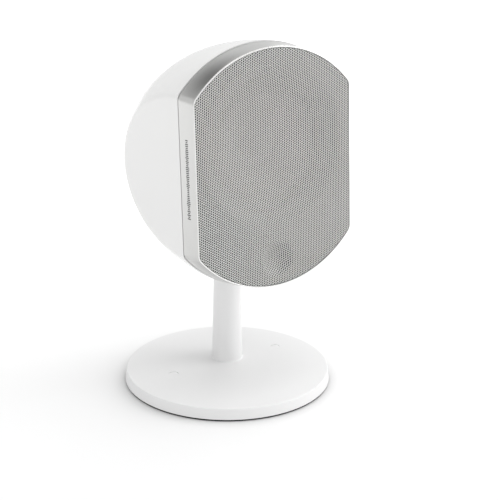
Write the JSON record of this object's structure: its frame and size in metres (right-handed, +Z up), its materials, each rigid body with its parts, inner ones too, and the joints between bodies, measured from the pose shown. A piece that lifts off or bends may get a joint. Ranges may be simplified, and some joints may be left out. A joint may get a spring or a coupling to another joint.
{
  "type": "compact loudspeaker on stand",
  "caption": "Compact two-way loudspeaker: egg-shaped white head with flat cheeks, silver bezel and dished grille, swivelling and tilting on a round weighted stand.",
  "frame": {"origin": "where the post's axis meets the surface that the stand is on; the round base's own centre is 9.9 mm to the left and 15 mm in front of it", "axes": "+Z up, the head's grille faces -Y, +X to the right seen from in front looking along +Y"},
  "size_m": [0.1792, 0.1889, 0.3013],
  "materials": {
    "shell_white": "glossy white lacquer",
    "stand_white": "satin white paint",
    "bezel_silver": "fine satin silver with a bright front edge",
    "grille_silver": "silver grey satin paint, perforated",
    "rubber_black": "matt black",
    "foam_black": "closed-cell foam",
    "plastic_black": "fine textured black",
    "plastic_white": "smooth white",
    "lever_red": "glossy red",
    "lever_black": "glossy black",
    "steel": "zinc plated",
    "screw_black": "black oxide",
    "iron": "ferrite and blackened iron",
    "basket_metal": "die-cast",
    "paper_cone": "coated paper",
    "spider_cloth": "corrugated cloth",
    "coil_copper": "copper wire",
    "nylon": "natural nylon",
    "board_green": "circuit board",
    "wadding": "polyester wadding",
    "dome_metal": "thin dome with a dark coating"
  },
  "bodies": {
    "stand": {"foot_pad": "rubber_black", "base_weight": "steel", "base_cover": "stand_white", "cover_screws": "steel", "screw_hole_caps": "plastic_white", "post": "stand_white", "post_plug": "steel", "base_bolt": "steel", "swivel_bush": "nylon", "swivel_stop_pin": "steel", "swivel_washer": "nylon"},
    "swivel": {"swivel_knuckle": "steel", "swivel_retainer": "steel", "swivel_screw": "steel"},
    "head": {"pivot_bracket": "steel", "bracket_screws": "steel", "tilt_washers": "nylon", "pivot_bolt": "steel", "pivot_nut": "steel", "rear_shell": "shell_white", "shell_seal": "foam_black", "front_bezel": "bezel_silver", "grille": "grille_silver", "baffle": "plastic_black", "baffle_gasket": "foam_black", "baffle_screws": "screw_black", "woofer_basket": "basket_metal", "woofer_gasket": "foam_black", "woofer_screws": "screw_black", "woofer_surround": "rubber_black", "woofer_spider": "spider_cloth", "woofer_top_plate": "steel", "woofer_magnet": "iron", "woofer_pole_plate": "steel", "woofer_tag_strip": "nylon", "tweeter_faceplate": "plastic_black", "tweeter_screws": "screw_black", "tweeter_surround": "rubber_black", "tweeter_cup": "steel", "tweeter_magnet": "iron", "tweeter_pole": "steel", "tweeter_rear_chamber": "plastic_black", "crossover_board": "board_green", "board_spacers": "nylon", "board_screws": "steel", "crossover_inductors": "coil_copper", "crossover_capacitors": "plastic_black", "crossover_resistor": "nylon", "terminal_plate": "plastic_black", "terminal_screws": "steel", "terminal_block": "plastic_black", "acoustic_wadding": "wadding"},
    "woofer_diaphragm": {"woofer_cone": "paper_cone", "woofer_dust_cap": "paper_cone", "voice_coil_former": "nylon", "voice_coil": "coil_copper"},
    "tweeter_diaphragm": {"tweeter_dome": "dome_metal", "tweeter_coil": "coil_copper"},
    "lever_left": {"terminal_lever_left": "lever_red"},
    "lever_right": {"terminal_lever_right": "lever_black"}
  },
  "joints": [
    {"name": "head_swivel", "type": "hinge", "parent": "stand", "child": "swivel", "pos_m": [0, 0, 0.1082], "axis": [0, 0, 1], "range_deg": [-90, 90]},
    {"name": "head_tilt", "type": "hinge", "parent": "swivel", "child": "head", "pos_m": [0, 0, 0.1217], "axis": [1, 0, 0], "range_deg": [-10, 10]},
    {"name": "woofer_travel", "type": "slide", "parent": "head", "child": "woofer_diaphragm", "axis": [0, -0.9986, 0.0523], "range_m": [-0.003, 0.003], "stiffness_N_per_m": 900, "deforming": ["woofer_surround", "woofer_spider"]},
    {"name": "tweeter_travel", "type": "slide", "parent": "head", "child": "tweeter_diaphragm", "axis": [0, -0.9986, 0.0523], "range_m": [-0.0003, 0.0003], "stiffness_N_per_m": 600, "deforming": ["tweeter_surround"]},
    {"name": "lever_left_press", "type": "hinge", "parent": "head", "child": "lever_left", "pos_m": [-0.01, 0.08064, 0.19959], "axis": [-1, 0, 0], "range_deg": [0, 15], "stiffness_Nm_per_rad": 0.05},
    {"name": "lever_right_press", "type": "hinge", "parent": "head", "child": "lever_right", "pos_m": [0.01, 0.08064, 0.19959], "axis": [-1, 0, 0], "range_deg": [0, 15], "stiffness_Nm_per_rad": 0.05}
  ]
}
